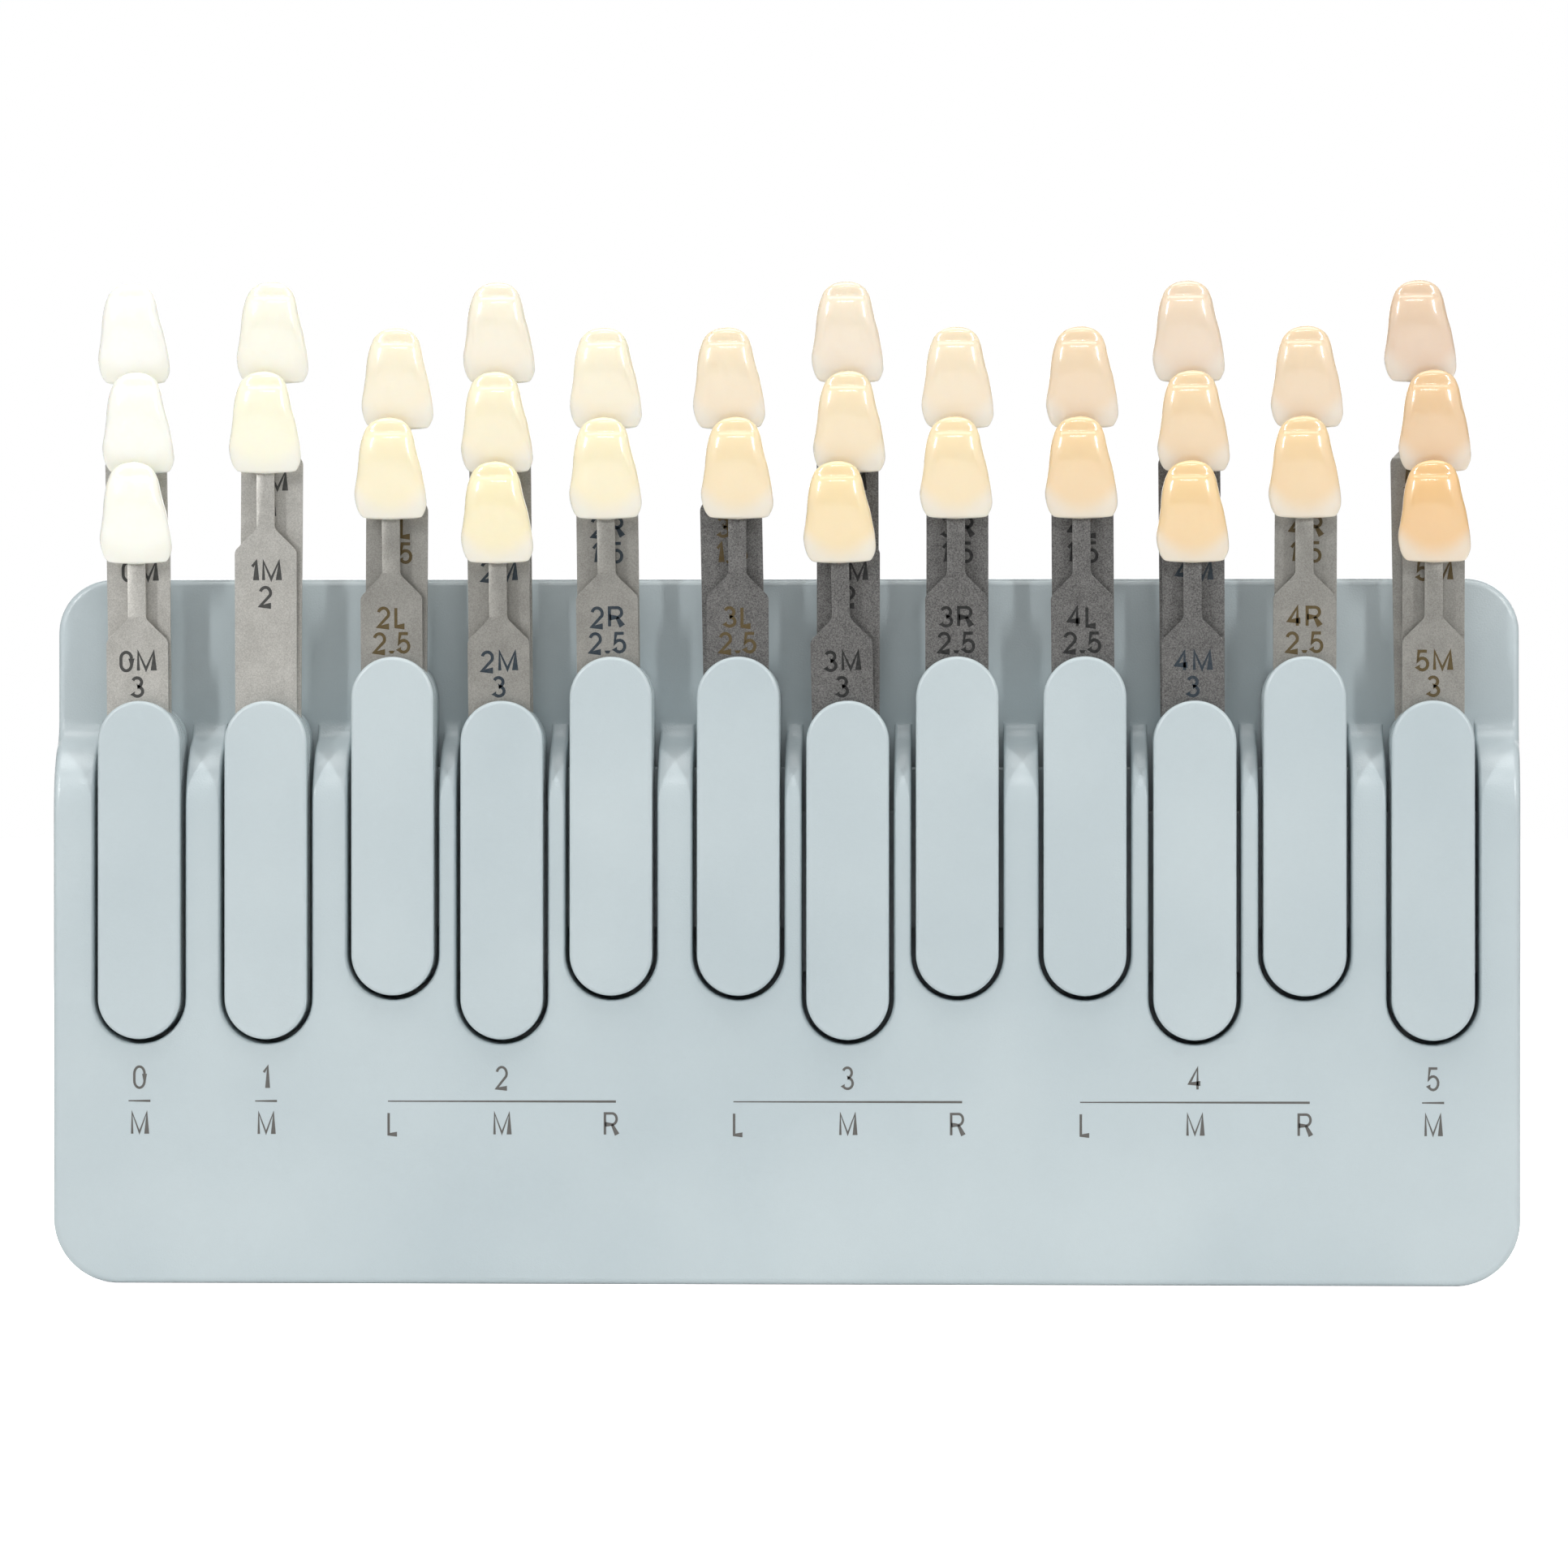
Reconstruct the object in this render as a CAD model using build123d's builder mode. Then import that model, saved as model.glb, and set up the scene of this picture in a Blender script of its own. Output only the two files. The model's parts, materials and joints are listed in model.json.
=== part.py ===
from build123d import *
import os
from math import asin, cos, degrees, hypot, radians, sin, tan

# A dental shade guide: an upright moulded stand that holds twelve pull-out
# carriers. Each carrier is a slit bar with two or three steel strips that fan
# about one pin, and every strip ends in an artificial tooth.
# Millimetres. X runs to the right, Z up, and the front faces -Y.

# Stand
stand_height = 86.8
stand_draft = 3.5
panel_y = -15.0
foot_depth = 30.0
top_depth = 13.5
parting_depth = 11.0
top_corner_radius = 6.6
bottom_corner_radius = 8.0
wall = 2.0
foot_trim = 0.02
front_edge_radius = 0.9
rear_edge_radius = 1.8

# Step between the front panel and the plate behind the tabs
step_depth = 7.5
step_low = 58.4
step_high = 69.6
hollow_radius = 3.2

# Columns of carriers
column_pitch = 13.4
group_gap = 15.6
end_margin = 11.3
low_row_base = 30.0
high_row_lift = 5.4

# Carriers
carrier_width = 10.1
carrier_length = 41.5
carrier_proud = 1.0
carrier_edge_radius = 0.5
carrier_back_gap = 0.2
slot_gap = 0.6
slot_wall = 1.2

# Rails on the walls of a slot, which run in a groove in each side of its carrier
rail_reach = 0.5
rail_thickness = 1.2
rail_set_in = 0.4
rail_rise = 8.0
rail_length = 20.0
groove_clearance = 0.15
rail_seat_gap = 0.1

# Slits in a carrier, counted from the front
front_wall = 1.9
slit_width = 0.8
slit_pitch = 1.5
slit_floor_clearance = 0.4

# Pivot pin
pivot_rise = 7.5
pin_radius = 1.0
pin_head_radius = 1.6
pin_head_thickness = 0.8
pin_fit = 0.02
pin_blind_depth = 1.0
pin_end_gap = 0.1
strip_pivot_clearance = 0.05

# Steel strips
strip_width = 7.6
strip_thickness = 0.6
neck_width = 2.2
neck_below_tooth = 6.7
shoulder_radius = 1.0
neck_root_radius = 0.9
neck_in_tooth = 6.0
first_tooth_rise = 16.8
tooth_step = 11.1

# Teeth
tooth_height = 12.5
tooth_width = 8.8
crown_thickness = 3.5
# Rings from the biting edge up to the neck end. Each has its share of the height,
# its shares of the width left and right of the strip, and its shares of the
# thickness before and behind the middle of the strip
tooth_rings = [
    (0.00, 0.33, 0.40, 0.26, -0.02),
    (0.05, 0.42, 0.46, 0.34, 0.03),
    (0.14, 0.48, 0.505, 0.45, 0.09),
    (0.27, 0.503, 0.498, 0.58, 0.13),
    (0.45, 0.455, 0.445, 0.71, 0.14),
    (0.64, 0.432, 0.383, 0.79, 0.13),
    (0.80, 0.388, 0.338, 0.81, 0.06),
    (0.90, 0.323, 0.283, 0.745, -0.09),
    (0.97, 0.20, 0.17, 0.62, -0.24),
    (1.00, 0.10, 0.09, 0.52, -0.34),
]

# Rear cover and its screws
cover_draft_in = 1.5
lip_height = 1.2
lip_clearance = 0.1
boss_wall = 1.5
screw_height = 14.0
outer_screw_inset = 10.5
screw_radius = 1.1
screw_length = 8.0
screw_head_radius = 2.1
screw_head_height = 1.5
screw_recess_width = 0.6
screw_recess_depth = 0.8
pilot_clearance = 0.03
pilot_end_gap = 1.0
screw_hole_clearance = 0.2
screw_floor = 2.0
access_clearance = 0.5

# Each column: its name, the steps its tabs stand on from the front, and how far
# each tab leans to the right as the owner left it, in degrees
columns = [
    ("0m", (0, 1, 2), (-0.6, -0.4, -0.9)),
    ("1m", (1, 2), (-0.2, 0.4)),
    ("2l", (0, 1), (-0.4, 0.3)),
    ("2m", (0, 1, 2), (-0.7, -0.7, -0.5)),
    ("2r", (0, 1), (-0.8, -0.7)),
    ("3l", (0, 1), (-0.2, -1.1)),
    ("3m", (0, 1, 2), (-1.1, 0.1, -0.1)),
    ("3r", (0, 1), (-0.2, 0.0)),
    ("4l", (0, 1), (-0.5, -0.3)),
    ("4m", (0, 1, 2), (-0.3, -0.1, -0.5)),
    ("4r", (0, 1), (0.0, 0.3)),
    ("5m", (0, 1, 2), (0.2, 0.3, -1.0)),
]
chroma_names = {"m": ("3", "2", "1"), "l": ("25", "15"), "r": ("25", "15")}

# Sizes that follow from the values above
parting_y = panel_y + parting_depth
plate_y = panel_y + step_depth
rear_foot_y = panel_y + foot_depth
rear_top_y = panel_y + top_depth
slot_half = carrier_width / 2 + slot_gap
rail_half = carrier_width / 2 - rail_reach
slot_floor_y = plate_y
carrier_front_y = panel_y - carrier_proud
carrier_back_y = slot_floor_y - carrier_back_gap
carrier_depth = carrier_back_y - carrier_front_y
rail_back_y = carrier_back_y - rail_set_in
first_slit_y = carrier_front_y + front_wall
shoulder_height = (strip_width - neck_width) / 2
access_radius = screw_head_radius + access_clearance
screw_head_y = parting_y + screw_floor
front_draft_in = parting_depth * tan(radians(stand_draft))


def column_x(index):
    """X of a column from the first: wide gaps between groups, the pitch inside one."""
    x = 0.0
    for before, after in zip(columns[:index], columns[1 : index + 1]):
        x += column_pitch if before[0][0] == after[0][0] else group_gap
    return x


array_width = column_x(len(columns) - 1)
stand_width = array_width + 2 * end_margin
outer_screw_x = stand_width / 2 - outer_screw_inset
inner_screw_x = outer_screw_x / 3


def column_place(index):
    """Centre line and lowest point of a column's carrier."""
    base = low_row_base if columns[index][0][1] == "m" else low_row_base + high_row_lift
    return column_x(index) - array_width / 2, base


def strip_y(slit):
    """Middle of a slit, counted from the front."""
    return first_slit_y + slit_width / 2 + slit * slit_pitch


def front_plane(y):
    """Drawing plane at y, seen from the front: its x is X, its y is Z."""
    return Plane(origin=(0, y, 0), x_dir=(1, 0, 0), z_dir=(0, -1, 0))


def stand_outline(inset, draft_in=0.0):
    """Front view of the stand, pulled in by a wall and by the draft of its sides.

    It starts a little too low, and each moulding's foot is then cut flat."""
    half = stand_width / 2 - inset - draft_in
    low = inset - foot_trim
    high = stand_height - inset - draft_in
    with BuildSketch() as outline:
        with BuildLine():
            Polyline((-half, low), (half, low), (half, high), (-half, high), close=True)
        make_face()
        fillet(outline.vertices().group_by(Axis.Y)[0], bottom_corner_radius - inset)
        fillet(outline.vertices().group_by(Axis.Y)[-1], top_corner_radius - inset)
    return outline.sketch


def step_profile(inset):
    """Side view of the front shell, with its S-shaped step, pulled in by inset."""
    height = step_high - step_low
    low = inset - foot_trim
    turn = 2 * degrees(asin(step_depth / hypot(step_depth, height)))
    swell_radius = height / sin(radians(turn)) - hollow_radius
    with BuildSketch(Plane.YZ) as side:
        with BuildLine():
            front = Line((panel_y + inset, low), (panel_y + inset, step_low))
            swell = JernArc(front @ 1, front % 1, swell_radius - inset, -turn)
            hollow = JernArc(swell @ 1, swell % 1, hollow_radius + inset, turn)
            top = (hollow @ 1).X, stand_height
            Polyline(hollow @ 1, top, (parting_y, stand_height), (parting_y, low), front @ 0)
        make_face()
    return side.sketch


def cover_profile(inset):
    """Side view of the rear cover: a wedge with a deep foot and a shallow top."""
    with BuildSketch(Plane.YZ) as side:
        with BuildLine():
            Polyline(
                (parting_y, inset - foot_trim),
                (rear_foot_y - inset, inset - foot_trim),
                (rear_top_y - inset, stand_height),
                (parting_y, stand_height),
                close=True,
            )
        make_face()
    return side.sketch


def slot_outline(x, base, half):
    """Front view of a slot with a round lower end and an open top."""
    with BuildSketch() as slot:
        with Locations((x, base + carrier_width / 2)):
            Circle(half)
            Rectangle(2 * half, stand_height, align=(Align.CENTER, Align.MIN))
    return slot.sketch


def screw_places():
    return [(x, screw_height) for x in (-outer_screw_x, -inner_screw_x, inner_screw_x, outer_screw_x)]


def make_front_core():
    """The hollow behind the front skin, with the slots' walls and bosses left out."""
    with BuildPart() as core:
        with BuildSketch(front_plane(parting_y)):
            add(stand_outline(wall))
        with BuildSketch(front_plane(panel_y)):
            add(stand_outline(wall, front_draft_in))
        loft()
        extrude(step_profile(wall), amount=stand_width, both=True, mode=Mode.INTERSECT)
        for index in range(len(columns)):
            x, base = column_place(index)
            with BuildSketch(front_plane(slot_floor_y + wall)):
                add(slot_outline(x, base, slot_half + slot_wall))
            extrude(amount=step_depth + wall, mode=Mode.SUBTRACT)
        with BuildSketch(front_plane(parting_y)):
            with Locations(*screw_places()):
                Circle(screw_radius + boss_wall)
        extrude(amount=parting_depth, mode=Mode.SUBTRACT)
    return core.part


def make_front_housing():
    with BuildPart() as housing:
        with BuildSketch(front_plane(parting_y)):
            add(stand_outline(0))
        with BuildSketch(front_plane(panel_y)):
            add(stand_outline(0, front_draft_in))
        loft()
        extrude(step_profile(0), amount=stand_width, both=True, mode=Mode.INTERSECT)
        ahead = housing.edges().filter_by(lambda edge: edge.bounding_box().max.Y < parting_y - 0.01)
        across = ahead.filter_by(Axis.X).filter_by_position(Axis.Z, step_low, step_high)
        fillet(ahead - across, front_edge_radius)
        split(bisect_by=Plane.XY)
        add(make_front_core(), mode=Mode.SUBTRACT)
        for index in range(len(columns)):
            x, base = column_place(index)
            with BuildSketch(front_plane(slot_floor_y)):
                add(slot_outline(x, base, slot_half))
            extrude(amount=step_depth, mode=Mode.SUBTRACT)
            with BuildSketch(front_plane(rail_back_y)):
                with Locations((x, base + rail_rise + rail_length / 2)):
                    Rectangle(2 * slot_half + slot_wall, rail_length)
                    Rectangle(2 * rail_half, rail_length, mode=Mode.SUBTRACT)
            extrude(amount=rail_thickness)
        with BuildSketch(front_plane(parting_y)):
            add(stand_outline(wall / 2))
            add(stand_outline(wall), mode=Mode.SUBTRACT)
        extrude(amount=lip_height + lip_clearance, mode=Mode.SUBTRACT)
        with BuildSketch(front_plane(parting_y)):
            with Locations(*screw_places()):
                Circle(screw_radius + pilot_clearance)
        extrude(amount=screw_length - screw_floor + pilot_end_gap, mode=Mode.SUBTRACT)
    housing.part.label = "front_housing"
    return housing.part


def make_rear_core():
    """The hollow of the rear cover, with the screw bosses left out."""
    with BuildPart() as core:
        with BuildSketch(front_plane(parting_y)):
            add(stand_outline(wall))
        with BuildSketch(front_plane(rear_foot_y)):
            add(stand_outline(wall, cover_draft_in))
        loft()
        extrude(cover_profile(wall), amount=stand_width, both=True, mode=Mode.INTERSECT)
        with BuildSketch(front_plane(rear_foot_y)):
            with Locations(*screw_places()):
                Circle(access_radius + boss_wall)
        extrude(amount=foot_depth, mode=Mode.SUBTRACT)
    return core.part


def make_rear_cover():
    with BuildPart() as cover:
        with BuildSketch(front_plane(parting_y)):
            add(stand_outline(0))
        with BuildSketch(front_plane(rear_foot_y)):
            add(stand_outline(0, cover_draft_in))
        loft()
        extrude(cover_profile(0), amount=stand_width, both=True, mode=Mode.INTERSECT)
        behind = cover.edges().filter_by(lambda edge: edge.bounding_box().min.Y > parting_y + 0.01)
        fillet(behind, rear_edge_radius)
        split(bisect_by=Plane.XY)
        add(make_rear_core(), mode=Mode.SUBTRACT)
        with BuildSketch(front_plane(parting_y)):
            add(stand_outline(wall / 2 + lip_clearance))
            add(stand_outline(wall), mode=Mode.SUBTRACT)
        extrude(amount=lip_height)
        with BuildSketch(front_plane(rear_foot_y)):
            with Locations(*screw_places()):
                Circle(access_radius)
        extrude(amount=rear_foot_y - screw_head_y, mode=Mode.SUBTRACT)
        with BuildSketch(front_plane(screw_head_y)):
            with Locations(*screw_places()):
                Circle(screw_radius + screw_hole_clearance)
        extrude(amount=screw_floor, mode=Mode.SUBTRACT)
    cover.part.label = "rear_cover"
    return cover.part


def make_cover_screws():
    with BuildPart() as screws:
        with BuildSketch(front_plane(screw_head_y)):
            with Locations(*screw_places()):
                Circle(screw_radius)
        extrude(amount=screw_length)
        with BuildSketch(front_plane(screw_head_y + screw_head_height)):
            with Locations(*screw_places()):
                Circle(screw_head_radius)
        extrude(amount=screw_head_height)
        with BuildSketch(front_plane(screw_head_y + screw_head_height)):
            with Locations(*screw_places()):
                Rectangle(screw_head_radius, screw_recess_width)
                Rectangle(screw_recess_width, screw_head_radius)
        extrude(amount=screw_recess_depth, mode=Mode.SUBTRACT)
    screws.part.label = "cover_screws"
    return screws.part


def make_carrier(index):
    """A rounded bar, slit from its top like a comb, with a groove in each side."""
    name, steps, leans = columns[index]
    x, base = column_place(index)
    pivot_z = base + pivot_rise
    slit_floor = pivot_z - strip_width / 2 - slit_floor_clearance
    groove_length = rail_rise + rail_length + rail_seat_gap
    with BuildPart() as carrier:
        with BuildSketch(front_plane(carrier_back_y)):
            with Locations((x, base + carrier_length / 2)):
                SlotOverall(carrier_length, carrier_width, rotation=90)
        extrude(amount=carrier_depth)
        fillet(carrier.faces().sort_by(Axis.Y)[0].edges(), carrier_edge_radius)
        with BuildSketch(front_plane(rail_back_y + groove_clearance)):
            with Locations((x, base + groove_length / 2)):
                Rectangle(carrier_width, groove_length)
                Rectangle(2 * (rail_half - groove_clearance), groove_length, mode=Mode.SUBTRACT)
        extrude(amount=rail_thickness + 2 * groove_clearance, mode=Mode.SUBTRACT)
        with BuildSketch(Plane.YZ.offset(x)):
            for slit in range(len(steps)):
                with Locations((strip_y(slit), slit_floor)):
                    Rectangle(slit_width, carrier_length, align=(Align.CENTER, Align.MIN))
        extrude(amount=carrier_width, both=True, mode=Mode.SUBTRACT)
        with BuildSketch(front_plane(carrier_back_y)):
            with Locations((x, pivot_z)):
                Circle(pin_radius + pin_fit)
        extrude(amount=carrier_back_y - first_slit_y + pin_blind_depth, mode=Mode.SUBTRACT)
        with BuildSketch(front_plane(carrier_back_y)):
            with Locations((x, pivot_z)):
                Circle(pin_head_radius + pin_fit)
        extrude(amount=pin_head_thickness, mode=Mode.SUBTRACT)
    carrier.part.label = "carrier_" + name
    return carrier.part


def make_pin(index):
    """The rivet that the strips of one carrier turn on, flush with the carrier's back."""
    x, base = column_place(index)
    length = carrier_back_y - first_slit_y + pin_blind_depth - pin_end_gap
    with BuildPart() as pin:
        with BuildSketch(front_plane(carrier_back_y)):
            with Locations((x, base + pivot_rise)):
                Circle(pin_radius)
        extrude(amount=length)
        with BuildSketch(front_plane(carrier_back_y)):
            with Locations((x, base + pivot_rise)):
                Circle(pin_head_radius)
        extrude(amount=pin_head_thickness)
    pin.part.label = "pin_" + columns[index][0]
    return pin.part


def make_strip(place, tooth_foot):
    """A steel strip drawn about its pivot, with a round foot, shoulders and a neck."""
    half = strip_width / 2
    neck = neck_width / 2
    neck_foot = tooth_foot - neck_below_tooth
    shoulder = neck_foot - shoulder_height
    neck_end = tooth_foot + neck_in_tooth
    with BuildPart() as strip:
        with BuildSketch(place) as outline:
            with BuildLine():
                Polyline(
                    (-half, 0),
                    (half, 0),
                    (half, shoulder),
                    (neck, neck_foot),
                    (neck, neck_end),
                    (-neck, neck_end),
                    (-neck, neck_foot),
                    (-half, shoulder),
                    close=True,
                )
            make_face()
            fillet([v for v in outline.vertices() if abs(v.Y - shoulder) < 0.01], shoulder_radius)
            fillet([v for v in outline.vertices() if abs(v.Y - neck_foot) < 0.01], neck_root_radius)
            Circle(half)
            Circle(pin_radius + strip_pivot_clearance, mode=Mode.SUBTRACT)
        extrude(amount=strip_thickness / 2, both=True)
    return strip.part


def make_tooth(place, tooth_foot, strip):
    """A lofted tooth, neck end up, cast round the neck of its strip."""
    with BuildPart() as tooth:
        for height, left, right, front, back in tooth_rings:
            level = place.origin + place.y_dir * (tooth_foot + height * tooth_height)
            with BuildSketch(Plane(origin=level, x_dir=place.x_dir, z_dir=place.y_dir)):
                with BuildLine():
                    sides = (-left * tooth_width, right * tooth_width)
                    middle = (back - front) * crown_thickness / 2
                    fore = -front * crown_thickness
                    aft = back * crown_thickness
                    Spline(
                        (sides[0], middle),
                        (sides[0] / 2, fore * 0.9 + middle * 0.1),
                        (sides[1] / 2, fore * 0.9 + middle * 0.1),
                        (sides[1], middle),
                        (sides[1] / 2, aft),
                        (sides[0] / 2, aft),
                        periodic=True,
                    )
                make_face()
        loft()
        add(strip, mode=Mode.SUBTRACT)
    return tooth.part


def make_tab(index, slit):
    """One shade tab: its strip, leaning as it was left, and its tooth."""
    name, steps, leans = columns[index]
    x, base = column_place(index)
    lean = radians(leans[slit])
    place = Plane(
        origin=(x, strip_y(slit), base + pivot_rise),
        x_dir=(cos(lean), 0, -sin(lean)),
        z_dir=(0, -1, 0),
    )
    tooth_foot = carrier_length - pivot_rise + first_tooth_rise + steps[slit] * tooth_step
    strip = make_strip(place, tooth_foot)
    tooth = make_tooth(place, tooth_foot, strip)
    tab = Compound([strip.solid(), tooth.solid()])
    tab.label = "tab_" + name + "_" + chroma_names[name[1]][steps[slit]]
    return tab


os.makedirs("parts", exist_ok=True)
pieces = [make_front_housing(), make_rear_cover(), make_cover_screws()]
for column in range(len(columns)):
    pieces.append(make_carrier(column))
    pieces.append(make_pin(column))
    for slit in range(len(columns[column][1])):
        pieces.append(make_tab(column, slit))
for piece in pieces:
    export_step(piece, "parts/" + piece.label + ".step")
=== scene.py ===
import json
import math

import bmesh
import bpy
from mathutils import Matrix, Vector


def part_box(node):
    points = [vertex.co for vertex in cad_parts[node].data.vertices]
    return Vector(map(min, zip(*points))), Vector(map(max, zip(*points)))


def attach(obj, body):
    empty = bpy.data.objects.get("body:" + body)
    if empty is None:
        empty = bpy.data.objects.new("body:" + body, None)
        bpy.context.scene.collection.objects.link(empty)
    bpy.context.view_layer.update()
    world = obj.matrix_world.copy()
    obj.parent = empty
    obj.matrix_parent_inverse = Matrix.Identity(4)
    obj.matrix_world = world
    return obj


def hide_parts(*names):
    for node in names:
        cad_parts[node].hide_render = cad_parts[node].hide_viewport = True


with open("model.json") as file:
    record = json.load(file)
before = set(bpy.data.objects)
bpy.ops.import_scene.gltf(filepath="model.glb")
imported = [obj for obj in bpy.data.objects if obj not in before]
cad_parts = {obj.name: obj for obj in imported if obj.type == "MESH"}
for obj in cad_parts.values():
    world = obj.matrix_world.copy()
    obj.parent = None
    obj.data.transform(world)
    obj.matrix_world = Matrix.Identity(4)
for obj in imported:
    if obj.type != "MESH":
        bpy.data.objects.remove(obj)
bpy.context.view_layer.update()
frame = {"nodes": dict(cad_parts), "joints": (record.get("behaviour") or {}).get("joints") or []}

mm = 0.001
cadNodes = frame["nodes"]
carrierNames = sorted(name for name in cadNodes if name.startswith("carrier_"))
tabNames = sorted(name for name in cadNodes if name.startswith("tab_"))
pinNames = [name for name in cadNodes if name.startswith("pin_")]
fanJoints = {joint["child"]: joint for joint in frame["joints"] if joint["type"] == "hinge"}
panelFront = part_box("front_housing")[0].y


def linear(code):
    # sRGB hex to the linear colour that shader sockets take
    bands = [int(code[at:at + 2], 16) / 255 for at in (1, 3, 5)]
    return [band / 12.92 if band <= 0.04045 else ((band + 0.055) / 1.055) ** 2.4
            for band in bands] + [1.0]


def mixed(first, second, share):
    return [a + (b - a) * share for a, b in zip(first, second)]


def addNode(tree, kind, settings, links):
    # settings are the node's own, or its sockets' values; links feed its sockets
    node = tree.nodes.new(kind)
    for name, value in settings.items():
        if isinstance(name, int) or name in node.inputs:
            node.inputs[name].default_value = value
        else:
            setattr(node, name, value)
    for name, source in links.items():
        tree.links.new(source, node.inputs[name])
    return node


def newMaterial(name, shader):
    # a material with one Principled shader, set from a dictionary of its sockets
    material = bpy.data.materials.new(name)
    material.use_nodes = True
    tree = material.node_tree
    tree.nodes.clear()
    surface = addNode(tree, "ShaderNodeBsdfPrincipled", shader, {})
    addNode(tree, "ShaderNodeOutputMaterial", {}, {"Surface": surface.outputs["BSDF"]})
    place = addNode(tree, "ShaderNodeTexCoord", {}, {})
    return material, tree, surface, place.outputs["Object"]


def ramp(tree, source, span, colours):
    # runs from one colour to the other while the source crosses the span
    node = addNode(tree, "ShaderNodeValToRGB", {}, {"Fac": source})
    for at in range(2):
        stop = node.color_ramp.elements[at]
        stop.position, stop.color = span[at], colours[at]
    return node.outputs["Color"]


def selectOnly(piece):
    bpy.ops.object.select_all(action="DESELECT")
    piece.select_set(True)
    bpy.context.view_layer.objects.active = piece


def applyModifiers(piece):
    selectOnly(piece)
    for modifier in list(piece.modifiers):
        bpy.ops.object.modifier_apply(modifier=modifier.name)


def dress(piece, material):
    piece.data.materials.clear()
    piece.data.materials.append(material)


def smoothByAngle(piece, degrees):
    selectOnly(piece)
    bpy.ops.object.shade_smooth_by_angle(angle=math.radians(degrees))


weldReach = 0.002 * mm
flatWithin = math.radians(0.5)


def copyOfNode(node, name):
    # a merged copy of a CAD node's mesh, which is loose triangles, ready for edge rounding
    piece = bpy.data.objects.new(name, cadNodes[node].data.copy())
    bpy.context.scene.collection.objects.link(piece)
    selectOnly(piece)
    if piece.data.has_custom_normals:
        bpy.ops.mesh.customdata_custom_splitnormals_clear()
    bpy.ops.object.mode_set(mode="EDIT")
    bpy.ops.mesh.select_all(action="SELECT")
    bpy.ops.mesh.remove_doubles(threshold=weldReach)
    bpy.ops.mesh.dissolve_limited(angle_limit=flatWithin)
    bpy.ops.object.mode_set(mode="OBJECT")
    return piece


# Injection moulded ABS with a fine spark-eroded grain: a satin skin that sparkles in grazing light
mouldedSkin = {
    "colour": "#C3CED1",
    "shade": "#B9C5C9",
    "roughness": 0.25,
    "refraction": 1.55,
    "grainSize": 0.22 * mm,
    "grainDepth": 0.03 * mm,
    "cloudSize": 30 * mm,          # faint drifts of tone across the panel
    "cloudRamp": (0.3, 0.7),
}


def mouldedPlastic(name, settings):
    material, tree, surface, place = newMaterial(name, {
        "Roughness": settings["roughness"], "IOR": settings["refraction"]})
    cloud = addNode(tree, "ShaderNodeTexNoise", {
        "Scale": 1 / settings["cloudSize"], "Detail": 2.0}, {"Vector": place})
    tint = ramp(tree, cloud.outputs["Fac"], settings["cloudRamp"], (
        linear(settings["shade"]), linear(settings["colour"])))
    tree.links.new(tint, surface.inputs["Base Color"])
    grain = addNode(tree, "ShaderNodeTexNoise", {
        "Scale": 1 / settings["grainSize"], "Detail": 1.5, "Roughness": 0.6}, {"Vector": place})
    bump = addNode(tree, "ShaderNodeBump", {
        "Strength": 1.0, "Distance": settings["grainDepth"]}, {"Height": grain.outputs["Fac"]})
    tree.links.new(bump.outputs["Normal"], surface.inputs["Normal"])
    return material


standPlastic = mouldedPlastic("satinMouldedAbs", mouldedSkin)
for node in ["rear_cover"] + carrierNames:
    dress(cadNodes[node], standPlastic)
print("moulded plastic done")


# The front shell, with the soft edge that a moulding has round each slot
shellEdges = {
    "radius": 0.4 * mm,
    "segments": 3,
    "turn": math.radians(35),      # an edge this sharp is rounded
    "deepest": -7.6 * mm,          # only from the front panel back to the slots' floor
    "smoothUpTo": 40,              # degrees
}


def makeShell(edges):
    piece = copyOfNode("front_housing", "frontShell")
    mesh = piece.data
    shape = bmesh.new()
    shape.from_mesh(mesh)
    weights = shape.edges.layers.float
    weight = weights.get("bevel_weight_edge") or weights.new("bevel_weight_edge")
    for edge in shape.edges:
        outside = all(point.co.y < edges["deepest"] for point in edge.verts)
        if outside and len(edge.link_faces) == 2 and edge.calc_face_angle_signed(0) > edges["turn"]:
            edge[weight] = 1.0
    shape.to_mesh(mesh)
    shape.free()
    bevel = piece.modifiers.new("softEdge", "BEVEL")
    bevel.limit_method = "WEIGHT"
    bevel.width = edges["radius"]
    bevel.segments = edges["segments"]
    bevel.use_clamp_overlap = False
    applyModifiers(piece)
    smoothByAngle(piece, edges["smoothUpTo"])
    return piece


shell = makeShell(shellEdges)
dress(shell, standPlastic)
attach(shell, "stand")
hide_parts("front_housing")
print("front shell done")


# Steel strips: blanked from 0.6 mm stainless sheet and bead blasted
stripSizes = {
    "width": 7.6 * mm,
    "thickness": 0.6 * mm,
    "neckWidth": 2.2 * mm,
    "neckBelowTooth": 6.7 * mm,
    "neckInTooth": 6.0 * mm,
    "shoulderRadius": 1.0 * mm,
    "rootRadius": 0.9 * mm,
    "cornerCut": 0.42,             # how far a 45 degree corner is cut back, as a share of its radius
    "cornerSegments": 5,
    "footCut": 0.999,              # a round foot, with its last point just short of the middle
    "footSegments": 14,
    "edgeRadius": 0.1 * mm,
    "edgeSegments": 2,
    "edgeTurn": math.radians(50),  # an edge this sharp is deburred
    "pinHole": 1.05 * mm,          # radius
    "pinHoleSides": 32,
    "firstTooth": 50.8 * mm,       # from the pivot up to the biting edge of the lowest tooth
    "toothStep": 11.1 * mm,
    "smoothUpTo": 30,              # degrees
}
close = 0.01 * mm                  # points nearer than this count as one height
chromaStep = {"3": 0, "2": 1, "1": 2, "25": 0, "15": 1}    # each code's place, from the lowest up


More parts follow.
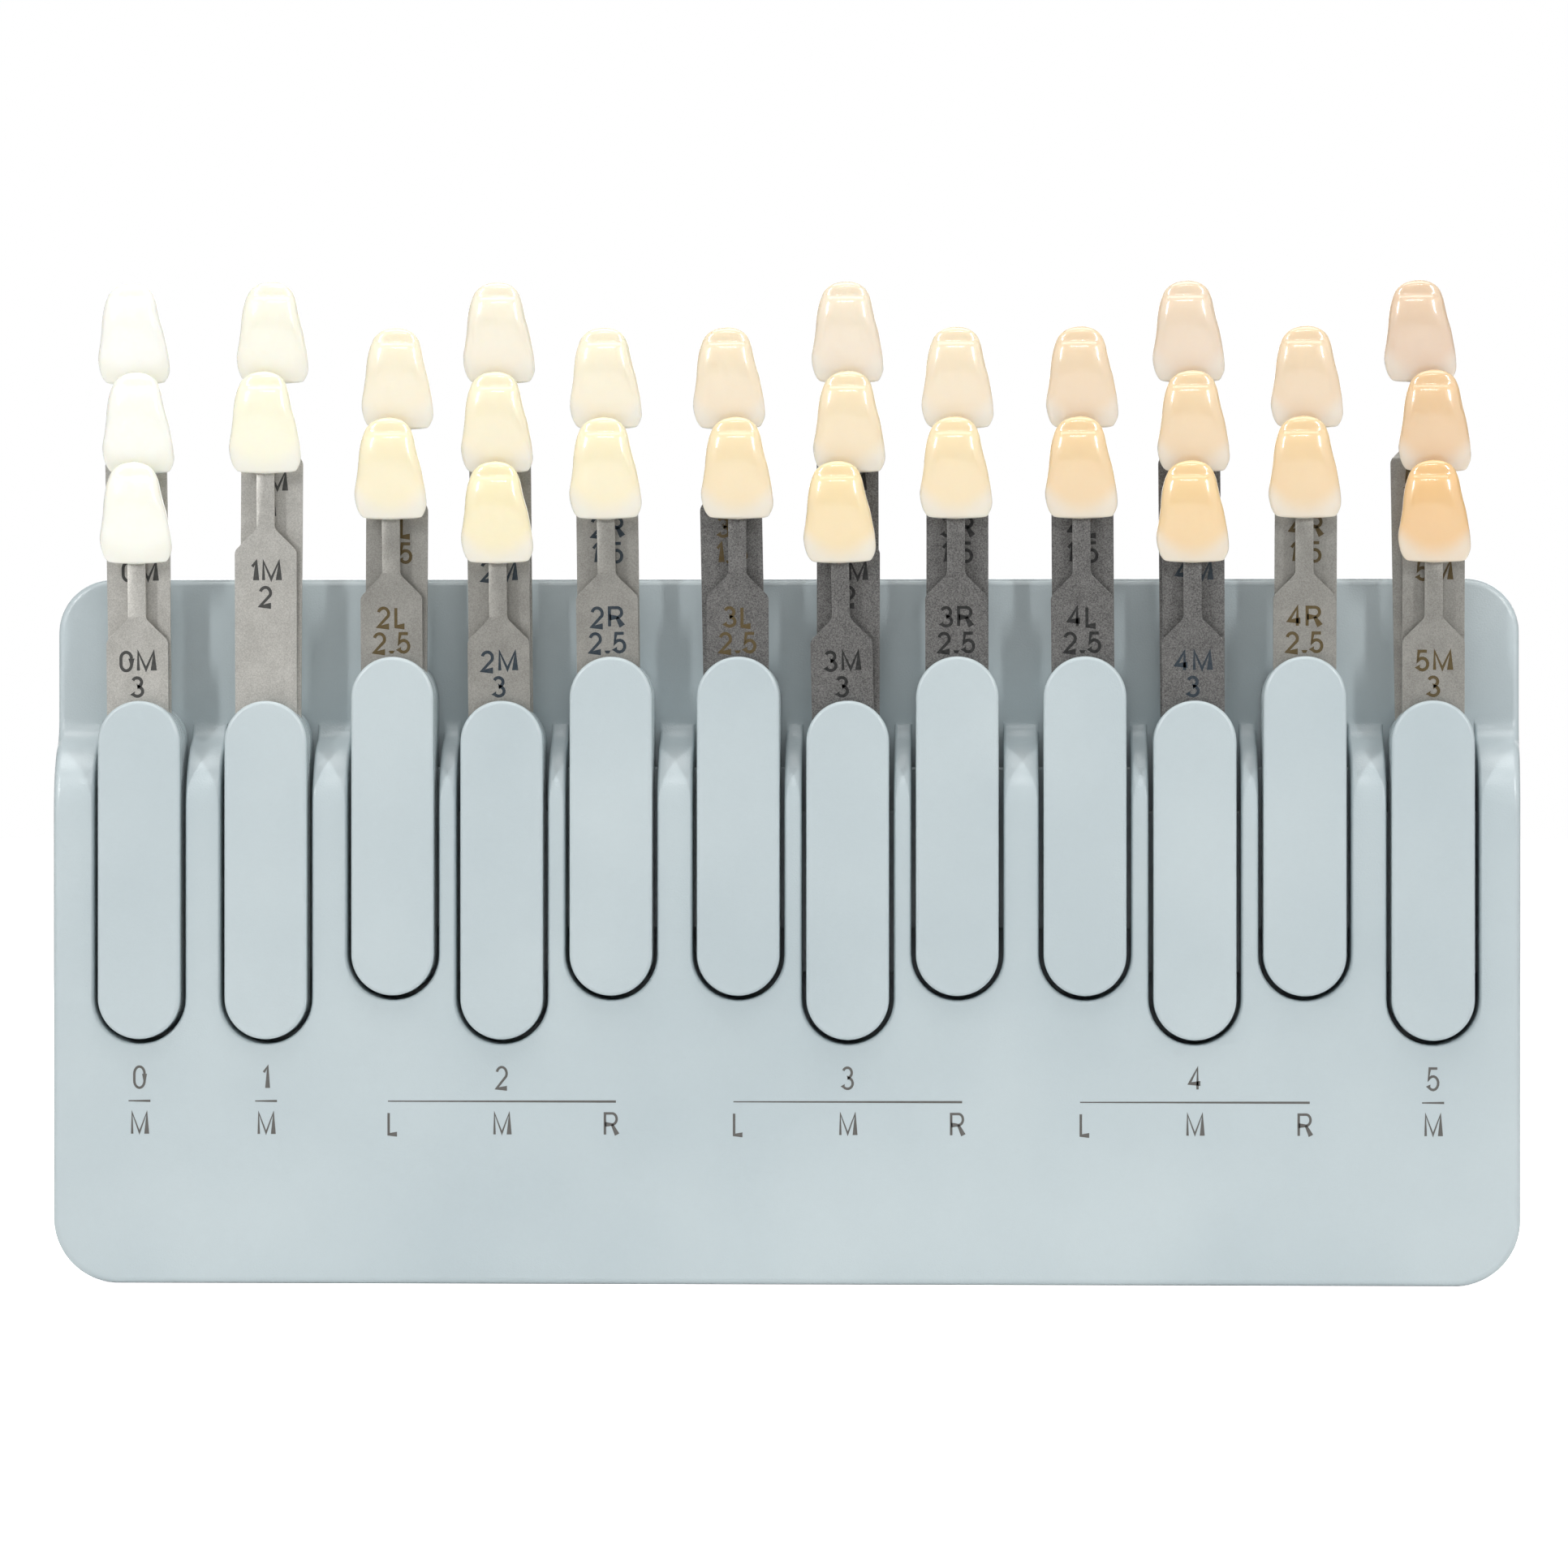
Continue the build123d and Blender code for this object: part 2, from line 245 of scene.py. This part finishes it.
def tabFacts(tab):
    # its column, chroma code and step, and how its pivot stands and leans at rest
    column, chroma = tab.split("_")[1:]
    joint = fanJoints[tab.replace("tab_", "shade_")]
    lean = -math.radians(sum(joint["range_deg"]) / 2)
    place = Matrix.Translation(Vector(joint["pos_m"])) @ Matrix.Rotation(lean, 4, "Y")
    return column, chroma, chromaStep[chroma], place


def toothFoot(step):
    return stripSizes["firstTooth"] + step * stripSizes["toothStep"]


def selectVerts(piece, test):
    # picks the points that pass a test, by their place, in edit mode
    bpy.ops.object.mode_set(mode="OBJECT")
    for face in piece.data.polygons:
        face.select = False
    for edge in piece.data.edges:
        edge.select = False
    for point in piece.data.vertices:
        point.select = test(point.co)
    bpy.ops.object.mode_set(mode="EDIT")
    bpy.ops.mesh.select_mode(type="VERT")


def placedCopy(model, name, place):
    piece = bpy.data.objects.new(name, model.data.copy())
    bpy.context.scene.collection.objects.link(piece)
    piece.data.transform(place)
    return piece


def makeStripModel(step, sizes, faceMaterial, edgeMaterial):
    # a plate drawn flat, stepped in to the neck, its corners rounded, then given its thickness
    upright = (math.radians(90), 0, 0)
    half, neck = sizes["width"] / 2, sizes["neckWidth"] / 2
    neckFoot = toothFoot(step) - sizes["neckBelowTooth"]
    shoulder = neckFoot - (half - neck)
    bpy.ops.mesh.primitive_plane_add(size=1, rotation=upright)
    piece = bpy.context.object
    piece.data.materials.append(faceMaterial)
    piece.data.materials.append(edgeMaterial)
    bpy.ops.object.transform_apply(rotation=True)
    for point in piece.data.vertices:
        point.co.x = math.copysign(half, point.co.x)
        point.co.z = shoulder if point.co.z > 0 else -half
    for width, top in ((neck, neckFoot), (neck, toothFoot(step) + sizes["neckInTooth"])):
        highest = max(point.co.z for point in piece.data.vertices)
        selectVerts(piece, lambda co: co.z > highest - close)
        bpy.ops.mesh.extrude_region_move(TRANSFORM_OT_translate={"value": (0, 0, top - highest)})
        bpy.ops.object.mode_set(mode="OBJECT")
        for point in piece.data.vertices:
            if point.select:
                point.co.x = math.copysign(width, point.co.x)
    corners = (
        (-half, half * sizes["footCut"], sizes["footSegments"]),
        (shoulder, sizes["shoulderRadius"] * sizes["cornerCut"], sizes["cornerSegments"]),
        (neckFoot, sizes["rootRadius"] * sizes["cornerCut"], sizes["cornerSegments"]),
    )
    for height, offset, segments in corners:
        selectVerts(piece, lambda co: abs(co.z - height) < close)
        bpy.ops.mesh.bevel(offset=offset, segments=segments, affect="VERTICES")
    bpy.ops.object.mode_set(mode="OBJECT")
    wall = piece.modifiers.new("thickness", "SOLIDIFY")
    wall.thickness = sizes["thickness"]
    wall.offset = 0
    bpy.ops.mesh.primitive_cylinder_add(
        vertices=sizes["pinHoleSides"], radius=sizes["pinHole"],
        depth=4 * sizes["thickness"], rotation=upright)
    drill = bpy.context.object
    hole = piece.modifiers.new("pinHole", "BOOLEAN")
    hole.object = drill
    hole.operation = "DIFFERENCE"
    hole.solver = "EXACT"
    soft = piece.modifiers.new("deburred", "BEVEL")
    soft.width = sizes["edgeRadius"]
    soft.segments = sizes["edgeSegments"]
    soft.limit_method = "ANGLE"
    soft.angle_limit = sizes["edgeTurn"]
    soft.material = 1              # the sheared edge's own finish
    applyModifiers(piece)
    bpy.data.objects.remove(drill)
    smoothByAngle(piece, sizes["smoothUpTo"])
    return piece


# Bead blasted stainless: a grey metal whose fine dimples spread every highlight
blastedSteel = {
    "bright": "#D3D1CB",
    "dull": "#B2B0AA",
    "roughness": 0.5,
    "dimpleSize": 0.15 * mm,       # drawn about three times too coarse, so that it shows
    "dimpleDepth": 0.012 * mm,
    "smearSize": 2.5 * mm,
    "smearShare": 0.3,             # what handling and heat add to the grain's own light and dark
    "toneRamp": (0.36, 0.64),
}


def steelMaterial(name, settings):
    material, tree, surface, place = newMaterial(name, {
        "Metallic": 1.0, "Roughness": settings["roughness"]})
    smear = addNode(tree, "ShaderNodeTexNoise", {
        "Scale": 1 / settings["smearSize"], "Detail": 4.0}, {"Vector": place})
    speck = addNode(tree, "ShaderNodeTexNoise", {
        "Scale": 1 / settings["dimpleSize"], "Detail": 2.0, "Roughness": 0.7}, {"Vector": place})
    both = addNode(tree, "ShaderNodeMix", {"data_type": "FLOAT", "Factor": settings["smearShare"]}, {
        2: speck.outputs["Fac"], 3: smear.outputs["Fac"]})
    tint = ramp(tree, both.outputs["Result"], settings["toneRamp"], (
        linear(settings["dull"]), linear(settings["bright"])))
    tree.links.new(tint, surface.inputs["Base Color"])
    bump = addNode(tree, "ShaderNodeBump", {"Strength": 1.0, "Distance": settings["dimpleDepth"]}, {
        "Height": speck.outputs["Fac"]})
    tree.links.new(bump.outputs["Normal"], surface.inputs["Normal"])
    return material


# Painted reflection: the strips get dark steel near the camera's line, where they mirror the dim room,
# and bright steel at the outer columns
satinSteel = steelMaterial("satinStainlessSteel", {
    **blastedSteel, "bright": "#BAB8B2", "dull": "#9B9993"})
steelPaintedBrightReflection = steelMaterial("brightStainlessSteel", {
    **blastedSteel, "bright": "#DAD8D2", "dull": "#BAB8B2"})
steelPaintedDarkReflection = steelMaterial("blastedStainlessSteel", {
    **blastedSteel, "bright": "#939290", "dull": "#5F5E5D", "roughness": 0.55, "smearShare": 0.15})
shearedEdge = steelMaterial("shearedSteelEdge", {
    **blastedSteel, "roughness": 0.28, "dimpleDepth": 0.003 * mm})
# Painted reflection: darker steel on the columns nearest the camera's line, brighter steel on the
# outermost ones
paintedReflectionSteelOfColumn = {
    "0m": steelPaintedBrightReflection, "1m": steelPaintedBrightReflection,
    "3l": steelPaintedDarkReflection, "3m": steelPaintedDarkReflection, "3r": steelPaintedDarkReflection, "4l": steelPaintedDarkReflection, "4m": steelPaintedDarkReflection,
}
stripModels = [makeStripModel(step, stripSizes, satinSteel, shearedEdge) for step in range(3)]
for tab in tabNames:
    column, chroma, step, place = tabFacts(tab)
    strip = placedCopy(stripModels[step], tab.replace("tab", "strip"), place)
    strip.data.materials[0] = paintedReflectionSteelOfColumn.get(column, satinSteel)
    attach(strip, tab.replace("tab_", "shade_"))
    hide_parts(tab)
for model in stripModels:
    bpy.data.objects.remove(model)
print("steel strips done")


# Marks drawn with plain strokes, as a laser or a pad prints them
bowSteps = 12


def bow(middle, reach, start, end):
    # points along an oval, from one angle to another, in degrees
    turns = [math.radians(start + (end - start) * at / bowSteps) for at in range(bowSteps + 1)]
    return [(middle[0] + reach[0] * math.cos(turn), middle[1] + reach[1] * math.sin(turn))
            for turn in turns]


glyphs = {
    # each sign's width, as a share of a figure's, and its strokes' middle lines in a box of 1 by 1
    "0": (1.0, [bow((0.5, 0.66), (0.5, 0.34), 0, 180) + bow((0.5, 0.34), (0.5, 0.34), 180, 360)
                + [(1, 0.66)]]),
    "1": (0.55, [[(0, 0.74), (0.85, 1), (0.85, 0)]]),
    "2": (1.0, [bow((0.48, 0.7), (0.48, 0.3), 165, -28) + [(0, 0), (1, 0)]]),
    "3": (1.0, [bow((0.46, 0.76), (0.43, 0.24), 155, -90), bow((0.48, 0.26), (0.5, 0.26), 90, -160)]),
    "4": (1.05, [[(0.74, 0), (0.74, 1), (0, 0.28), (1, 0.28)]]),
    "5": (1.0, [[(0.92, 1), (0.18, 1), (0.06, 0.47)] + bow((0.5, 0.31), (0.5, 0.32), 130, -160)]),
    ".": (0.2, [[(0.5, -0.08), (0.5, 0.08)]]),
    "L": (0.85, [[(0, 1), (0, 0), (1, 0)]]),
    "M": (1.34, [[(0, 0), (0, 1), (0.5, 0.06), (1, 1), (1, 0)]]),
    "R": (1.15, [[(0, 0), (0, 1), (0.6, 1)] + bow((0.6, 0.74), (0.36, 0.26), 80, -90) + [(0, 0.48)],
                 [(0.58, 0.48), (1, 0)]]),
}


def drawStroke(shape, points, width):
    # a flat band of even width along a line of points, facing -Y
    points = [Vector(point) for point in points]
    rims = []
    for at, here in enumerate(points):
        ahead = points[min(at + 1, len(points) - 1)] - here
        behind = here - points[max(at - 1, 0)]
        ahead, behind = (ahead or behind).normalized(), (behind or ahead).normalized()
        turn = (ahead + behind).normalized()
        side = Vector((-turn.y, turn.x)) * width / 2 / max(turn.dot(ahead), 0.5)    # a mitre
        rims.append([shape.verts.new((spot.x, 0, spot.y)) for spot in (here + side, here - side)])
    for (leftLow, rightLow), (leftHigh, rightHigh) in zip(rims, rims[1:]):
        shape.faces.new((leftLow, rightLow, rightHigh, leftHigh))


def drawWords(shape, words, style, middle, top):
    # signs in a row about a middle, hung from a height
    cap = style["cap"]
    stroke, gap = style["stroke"] * cap, style["gap"] * cap
    widths = [glyphs[sign][0] * style["width"] * cap for sign in words]
    left = middle - (sum(widths) + gap * (len(words) - 1)) / 2
    for sign, width in zip(words, widths):
        for line in glyphs[sign][1]:
            drawStroke(shape, [(
                left + stroke / 2 + x * (width - stroke),
                top - cap + stroke / 2 + z * (cap - stroke)) for x, z in line], stroke)
        left += width + gap


def markPiece(name, shape, place):
    mesh = bpy.data.meshes.new(name)
    shape.to_mesh(mesh)
    shape.free()
    piece = bpy.data.objects.new(name, mesh)
    bpy.context.scene.collection.objects.link(piece)
    mesh.transform(place)
    return piece


# Laser marked codes on the strips: the oxide colour shifts with the heat of each run
codeSizes = {
    "columnDrop": 10.6 * mm,       # from the biting edge down to the top of the first line
    "chromaDrop": 13.75 * mm,
    "cap": 2.65 * mm,              # a figure's height
    "raised": 0.015 * mm,          # so that the mark shows on the metal
    "width": 0.64,                 # this and the next two are shares of the height
    "stroke": 0.145,
    "gap": 0.17,
    "roughness": 0.45,
}
markColours = {
    "grey": "#3B3B39",
    "bronze": "#54441F",
    "blue": "#1F2D38",
    "black": "#101010",
}
markOfColumn = {
    "0m": "grey", "1m": "grey", "2l": "bronze", "2m": "blue", "2r": "blue", "3l": "bronze",
    "3m": "black", "3r": "black", "4l": "black", "4m": "blue", "4r": "bronze", "5m": "bronze",
}
smudges = {
    "size": 0.4 * mm,
    "colour": "#8A8A88",
    "share": 0.12,
    "ramp": (0.35, 0.75),
}


def inkMaterial(name, colour, roughness):
    # a thin dark mark, a little worn in small patches
    material, tree, surface, place = newMaterial(name, {"Roughness": roughness})
    smudge = addNode(tree, "ShaderNodeTexNoise", {
        "Scale": 1 / smudges["size"], "Detail": 3.0}, {"Vector": place})
    ink = linear(colour)
    worn = mixed(ink, linear(smudges["colour"]), smudges["share"])
    tint = ramp(tree, smudge.outputs["Fac"], smudges["ramp"], (ink, worn))
    tree.links.new(tint, surface.inputs["Base Color"])
    return material


markMaterials = {
    name: inkMaterial(name + "LaserMark", colour, codeSizes["roughness"])
    for name, colour in markColours.items()}
for tab in tabNames:
    column, chroma, step, place = tabFacts(tab)
    foot = toothFoot(step)
    shape = bmesh.new()
    drawWords(shape, column.upper(), codeSizes, 0, foot - codeSizes["columnDrop"])
    drawWords(shape, ".".join(chroma), codeSizes, 0, foot - codeSizes["chromaDrop"])
    lift = Matrix.Translation((0, -stripSizes["thickness"] / 2 - codeSizes["raised"], 0))
    code = markPiece(tab.replace("tab", "code"), shape, place @ lift)
    dress(code, markMaterials[markOfColumn[column]])
    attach(code, tab.replace("tab_", "shade_"))
print("codes done")


# Teeth: layered tooth resin, glossy, with a clear biting edge and a deeper neck
toothSizes = {
    "height": 12.6 * mm,
    "width": 8.8 * mm,
    "thickness": 3.5 * mm,
    "rings": 60,
    "sides": 32,
}
toothOutline = [
    # share of height, shares of width left and right, shares of thickness in front and behind
    (0.00, 0.330, 0.400, 0.26, -0.04),
    (0.045, 0.415, 0.455, 0.33, 0.02),
    (0.13, 0.475, 0.505, 0.44, 0.09),
    (0.26, 0.503, 0.500, 0.57, 0.14),
    (0.40, 0.472, 0.468, 0.680, 0.16),
    (0.52, 0.448, 0.436, 0.760, 0.155),
    (0.58, 0.441, 0.412, 0.786, 0.15),
    (0.64, 0.433, 0.389, 0.792, 0.14),
    (0.70, 0.421, 0.370, 0.780, 0.125),
    (0.74, 0.410, 0.358, 0.762, 0.11),
    (0.77, 0.400, 0.350, 0.742, 0.095),
    (0.80, 0.387, 0.341, 0.710, 0.07),
    (0.822, 0.377, 0.332, 0.675, 0.05),
    (0.840, 0.367, 0.324, 0.632, 0.03),
    (0.852, 0.359, 0.317, 0.608, 0.01),
    (0.866, 0.351, 0.309, 0.596, -0.01),
    (0.90, 0.325, 0.285, 0.590, -0.07),
    (0.94, 0.268, 0.236, 0.572, -0.15),
    (0.976, 0.180, 0.150, 0.510, -0.25),
    (1.00, 0.050, 0.045, 0.410, -0.36),
]


def along(table, share, column):
    # a smooth reading of one column of the outline at a share of the height
    for low, high in zip(table, table[1:]):
        if share <= high[0]:
            span = high[0] - low[0]
            part = (share - low[0]) / span
            before = table[max(table.index(low) - 1, 0)]
            after = table[min(table.index(high) + 1, len(table) - 1)]
            slopeLow = (high[column] - before[column]) / (high[0] - before[0]) * span
            slopeHigh = (after[column] - low[column]) / (after[0] - low[0]) * span
            square, cube = part ** 2, part ** 3
            return ((2 * cube - 3 * square + 1) * low[column] + (cube - 2 * square + part) * slopeLow
                    + (3 * square - 2 * cube) * high[column] + (cube - square) * slopeHigh)
    return table[-1][column]


def makeToothModel(sizes, outline):
    # a sphere pulled to the outline ring by ring, then smoothed
    bpy.ops.mesh.primitive_uv_sphere_add(
        segments=sizes["sides"], ring_count=sizes["rings"], radius=1)
    piece = bpy.context.object
    for point in piece.data.vertices:
        turn = math.atan2(point.co.y, point.co.x)
        share = 0.5 + math.asin(max(-1, min(1, point.co.z))) / math.pi
        across, deep = math.cos(turn), math.sin(turn)
        reach = along(outline, share, 2 if across > 0 else 1) * sizes["width"]
        front = along(outline, share, 3) * sizes["thickness"]
        back = along(outline, share, 4) * sizes["thickness"]
        middle, half = (back - front) / 2, (back + front) / 2
        x, y = across * reach, middle + deep * half
        if point.co.z in (1.0, -1.0):      # the poles
            x, y = 0, middle
        point.co = (x, y, share * sizes["height"])
    smooth = piece.modifiers.new("smooth", "SUBSURF")
    smooth.levels = smooth.render_levels = 1
    applyModifiers(piece)
    bpy.ops.object.shade_smooth()
    return piece


# How strongly each pigment soaks up red, green and blue: the shade system's own steps
pigments = {
    "opaquer": (0.006, 0.012, 0.080),   # in every tooth
    "value": (0.034, 0.054, 0.055),     # rises with the value group, 0 to 5
    "chroma": (0.000, 0.000, 0.060),    # for each chroma step
    "dentine": (-0.005, 0.004, 0.020),  # for value times chroma, which turns the grey warm
    "enamel": (0.100, 0.110, 0.220),    # the clear biting edge, over any dentine
}
resin = {
    "roughness": 0.22,
    "coatRoughness": 0.04,         # the polished skin
    "refraction": 1.5,
    "scatterShare": 0.4,
    "scatterDepth": 0.9 * mm,
    "scatterBands": (1.0, 0.8, 0.6),
    "valueSlope": 1.3,             # the value pigment grows by this power of the group's number
    "bleachedChroma": 0.3,         # group 0 takes this much of a chroma step
    "neckChroma": 0.6,             # added at the neck
    "neckDentine": 0.3,            # added at the neck for each value step
    "neckRamp": (0.35, 0.95),      # shares of the height where the neck's colour starts and is full
    "enamelValue": 0.5,            # how much of the body's own pigments the biting edge keeps
    "enamelDentine": 0.3,
    "enamelFoot": -0.02,           # share of the height below which the enamel is full
    "enamelTop": 0.22,             # share of the height where it ends
    "enamelRise": 0.22,            # how much higher it climbs at the sides
}


def pigmentColour(*amounts):
    # what is left of white light after each pigment has soaked up its share
    soaked = [sum(pigments[name][band] * amount for name, amount in amounts) for band in range(3)]
    return [math.exp(-max(loss, 0)) for loss in soaked] + [1.0]


def toothMaterial(name, column, chroma, seat):
    value = int(column[0]) ** resin["valueSlope"]
    strength = float(".".join(chroma)) * (1 if value else resin["bleachedChroma"])
    mix = (("opaquer", 1), ("value", value), ("chroma", strength), ("dentine", value * strength))
    body = pigmentColour(*mix)
    neck = pigmentColour(
        *mix, ("chroma", resin["neckChroma"]), ("dentine", resin["neckDentine"] * value))
    enamel = pigmentColour(
        ("enamel", 1), ("value", resin["enamelValue"] * value),
        ("dentine", resin["enamelDentine"] * value * strength))
    material, tree, surface, place = newMaterial(name, {
        "Roughness": resin["roughness"], "IOR": resin["refraction"],
        "Subsurface Weight": resin["scatterShare"], "Subsurface Scale": resin["scatterDepth"],
        "Subsurface Radius": resin["scatterBands"],
        "Coat Weight": 1.0, "Coat Roughness": resin["coatRoughness"]})
    foot = seat.translation
    shifted = addNode(tree, "ShaderNodeMapping", {"Location": (-foot.x, 0, -foot.z)}, {"Vector": place})
    split = addNode(tree, "ShaderNodeSeparateXYZ", {}, {"Vector": shifted.outputs["Vector"]})
    rise = addNode(tree, "ShaderNodeMath", {"operation": "DIVIDE", 1: toothSizes["height"]}, {
        0: split.outputs["Z"]})
    across = addNode(tree, "ShaderNodeMath", {"operation": "MULTIPLY"}, {
        0: split.outputs["X"], 1: split.outputs["X"]})
    climb = -resin["enamelRise"] / (toothSizes["width"] / 2) ** 2
    level = addNode(tree, "ShaderNodeMath", {"operation": "MULTIPLY_ADD", 1: climb}, {
        0: across.outputs["Value"], 2: rise.outputs["Value"]})
    clear = addNode(tree, "ShaderNodeMapRange", {
        "interpolation_type": "SMOOTHSTEP", "To Min": 1.0, "To Max": 0.0,
        "From Min": resin["enamelFoot"], "From Max": resin["enamelTop"]}, {
        "Value": level.outputs["Value"]})
    dentine = ramp(tree, rise.outputs["Value"], resin["neckRamp"], (body, neck))
    layers = addNode(tree, "ShaderNodeMix", {"data_type": "RGBA"}, {"Factor": clear.outputs["Result"]})
    tree.links.new(dentine, layers.inputs[6])      # the colour sockets of the mix are 6 and 7
    layers.inputs[7].default_value = enamel
    tree.links.new(layers.outputs[2], surface.inputs["Base Color"])
    return material


toothModel = makeToothModel(toothSizes, toothOutline)
for tab in tabNames:
    column, chroma, step, place = tabFacts(tab)
    seat = place @ Matrix.Translation((0, 0, toothFoot(step)))
    tooth = placedCopy(toothModel, tab.replace("tab", "tooth"), seat)
    dress(tooth, toothMaterial("toothResin_" + column + chroma, column, chroma, seat))
    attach(tooth, tab.replace("tab_", "shade_"))
    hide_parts(tab)
bpy.data.objects.remove(toothModel)
print("teeth done")


# The printed scale under the slots: pad printed dark grey, thin and condensed
scalePrint = {
    "raised": 0.015 * mm,
    "numberTop": 26.75 * mm,
    "ruleHeight": 22.4 * mm,
    "letterTop": 21.1 * mm,
    "cap": 2.9 * mm,
    "width": 0.54,                 # this and the next two are shares of the cap height
    "stroke": 0.105,
    "gap": 0.1,
    "ruleWidth": 0.14 * mm,
    "shortRule": 2.7 * mm,         # under a number with one column
    "ruleReach": 0.6 * mm,         # past the outer columns of the others
    "ink": "#5E5C59",
    "roughness": 0.5,
}


def carrierCentre(column):
    low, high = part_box("carrier_" + column)
    return (low.x + high.x) / 2


def makeScale(style):
    # a number and a rule over each group of columns, and a letter under each column
    columns = [name.replace("carrier_", "") for name in carrierNames]
    shape = bmesh.new()
    for value in sorted({column[0] for column in columns}):
        spots = sorted(carrierCentre(column) for column in columns if column[0] == value)
        reach = style["shortRule"] / 2 if len(spots) == 1 else style["ruleReach"]
        ends = spots[0] - reach, spots[-1] + reach
        drawStroke(shape, [(end, style["ruleHeight"]) for end in ends], style["ruleWidth"])
        drawWords(shape, value, style, sum(ends) / 2, style["numberTop"])
    for column in columns:
        drawWords(shape, column[1].upper(), style, carrierCentre(column), style["letterTop"])
    return markPiece("scalePrint", shape, Matrix.Translation((0, panelFront - style["raised"], 0)))


scale = makeScale(scalePrint)
dress(scale, inkMaterial("padPrintedInk", scalePrint["ink"], scalePrint["roughness"]))
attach(scale, "stand")
print("printed scale done")

# Pins and screws: turned stainless bar, brighter and smoother than the strips
turnedSteel = steelMaterial("turnedStainlessSteel", {
    **blastedSteel, "roughness": 0.3, "dimpleDepth": 0.002 * mm})
for node in ["cover_screws"] + pinNames:
    dress(cadNodes[node], turnedSteel)
print("pins and screws done")

# Studio: a white table and backdrop, softboxes overhead and behind, a wall of light at each
# side, and three narrow bars in front, which draw the bright bands on the stand's step
studio = {
    "cameraDistance": 750 * mm,
    "cameraRight": 24.7 * mm,
    "aimHeight": 61.3 * mm,
    "frameWidth": 191.9 * mm,      # what the frame spans at the front panel
    "sensor": 36.0,
    "paper": "#F7F7F7",
    "paperRoughness": 0.9,
    "floorSize": 12,
    "floorDrop": 0.05 * mm,
    "floorGlow": 1.0,
    "roomLight": 0.06,
}
standMiddle = (0, 0, 0.07)
tabMiddle = (0, 0, 0.1)
lights = {
    # places and sizes in metres, power in watts
    "softboxTop": {"spot": (0, -0.15, 0.9), "target": standMiddle, "size": (1.0, 0.5), "power": 4.7},
    "wallLeft": {"spot": (-0.8, -0.38, 0.35), "target": standMiddle, "size": (0.7, 1.0), "power": 1.5},
    "wallRight": {"spot": (0.8, -0.38, 0.35), "target": standMiddle, "size": (0.7, 1.0), "power": 1.5},
    "barTop": {"spot": (0, -0.55, 0.6), "target": tabMiddle, "size": (0.4, 0.04), "power": 0.7},
    "barLeft": {"spot": (-0.54, -0.56, 0.45), "target": tabMiddle, "size": (0.05, 0.32), "power": 1.95},
    "barRight": {"spot": (0.54, -0.56, 0.45), "target": tabMiddle, "size": (0.05, 0.32), "power": 1.95},
    "softboxBack": {"spot": (0, 1.0, 0.45), "target": standMiddle, "size": (1.2, 0.6), "power": 5.0},
}


def addCamera(settings):
    height = settings["aimHeight"]
    eye = Vector((settings["cameraRight"], panelFront - settings["cameraDistance"], height))
    target = Vector((0, panelFront, height))
    bpy.ops.object.camera_add(location=eye)
    camera = bpy.context.object
    camera.rotation_euler = (target - eye).to_track_quat("-Z", "Y").to_euler()
    camera.data.sensor_width = settings["sensor"]
    camera.data.lens = settings["sensor"] * (target - eye).length / settings["frameWidth"]
    bpy.context.scene.camera = camera


def addSoftbox(name, spot, target, size, power):
    bpy.ops.object.light_add(type="AREA", location=spot)
    light = bpy.context.object
    light.name = name
    light.data.shape = "RECTANGLE"
    light.data.size, light.data.size_y = size
    light.data.energy = power
    light.rotation_euler = (Vector(target) - Vector(spot)).to_track_quat("-Z", "Y").to_euler()


def addFloor(settings):
    # matt white paper, which glows to the eye, as if it were lit all the way back
    material, tree, surface = newMaterial("whitePaper", {
        "Roughness": settings["paperRoughness"], "Base Color": linear(settings["paper"]),
        "Emission Color": (1, 1, 1, 1)})[:3]
    ray = addNode(tree, "ShaderNodeLightPath", {}, {})
    glow = addNode(tree, "ShaderNodeMath", {"operation": "MULTIPLY", 1: settings["floorGlow"]}, {
        0: ray.outputs["Is Camera Ray"]})
    tree.links.new(glow.outputs["Value"], surface.inputs["Emission Strength"])
    bpy.ops.mesh.primitive_plane_add(
        size=settings["floorSize"], location=(0, 0, -settings["floorDrop"]))
    floor = bpy.context.object
    floor.name = "floor"
    dress(floor, material)


def addRoom(settings):
    # a white backdrop to the eye, and a dim room to every reflection
    world = bpy.data.worlds.new("dimRoom")
    bpy.context.scene.world = world
    world.use_nodes = True
    tree = world.node_tree
    ray = addNode(tree, "ShaderNodeLightPath", {}, {})
    glow = addNode(tree, "ShaderNodeMapRange", {"To Min": settings["roomLight"], "To Max": 1.0}, {
        "Value": ray.outputs["Is Camera Ray"]})
    background = tree.nodes["Background"]
    background.inputs["Color"].default_value = (1, 1, 1, 1)
    tree.links.new(glow.outputs["Result"], background.inputs["Strength"])


addCamera(studio)
addFloor(studio)
addRoom(studio)
for name, light in lights.items():
    addSoftbox(name, **light)
bpy.context.scene.view_settings.view_transform = "Standard"
print("studio done")
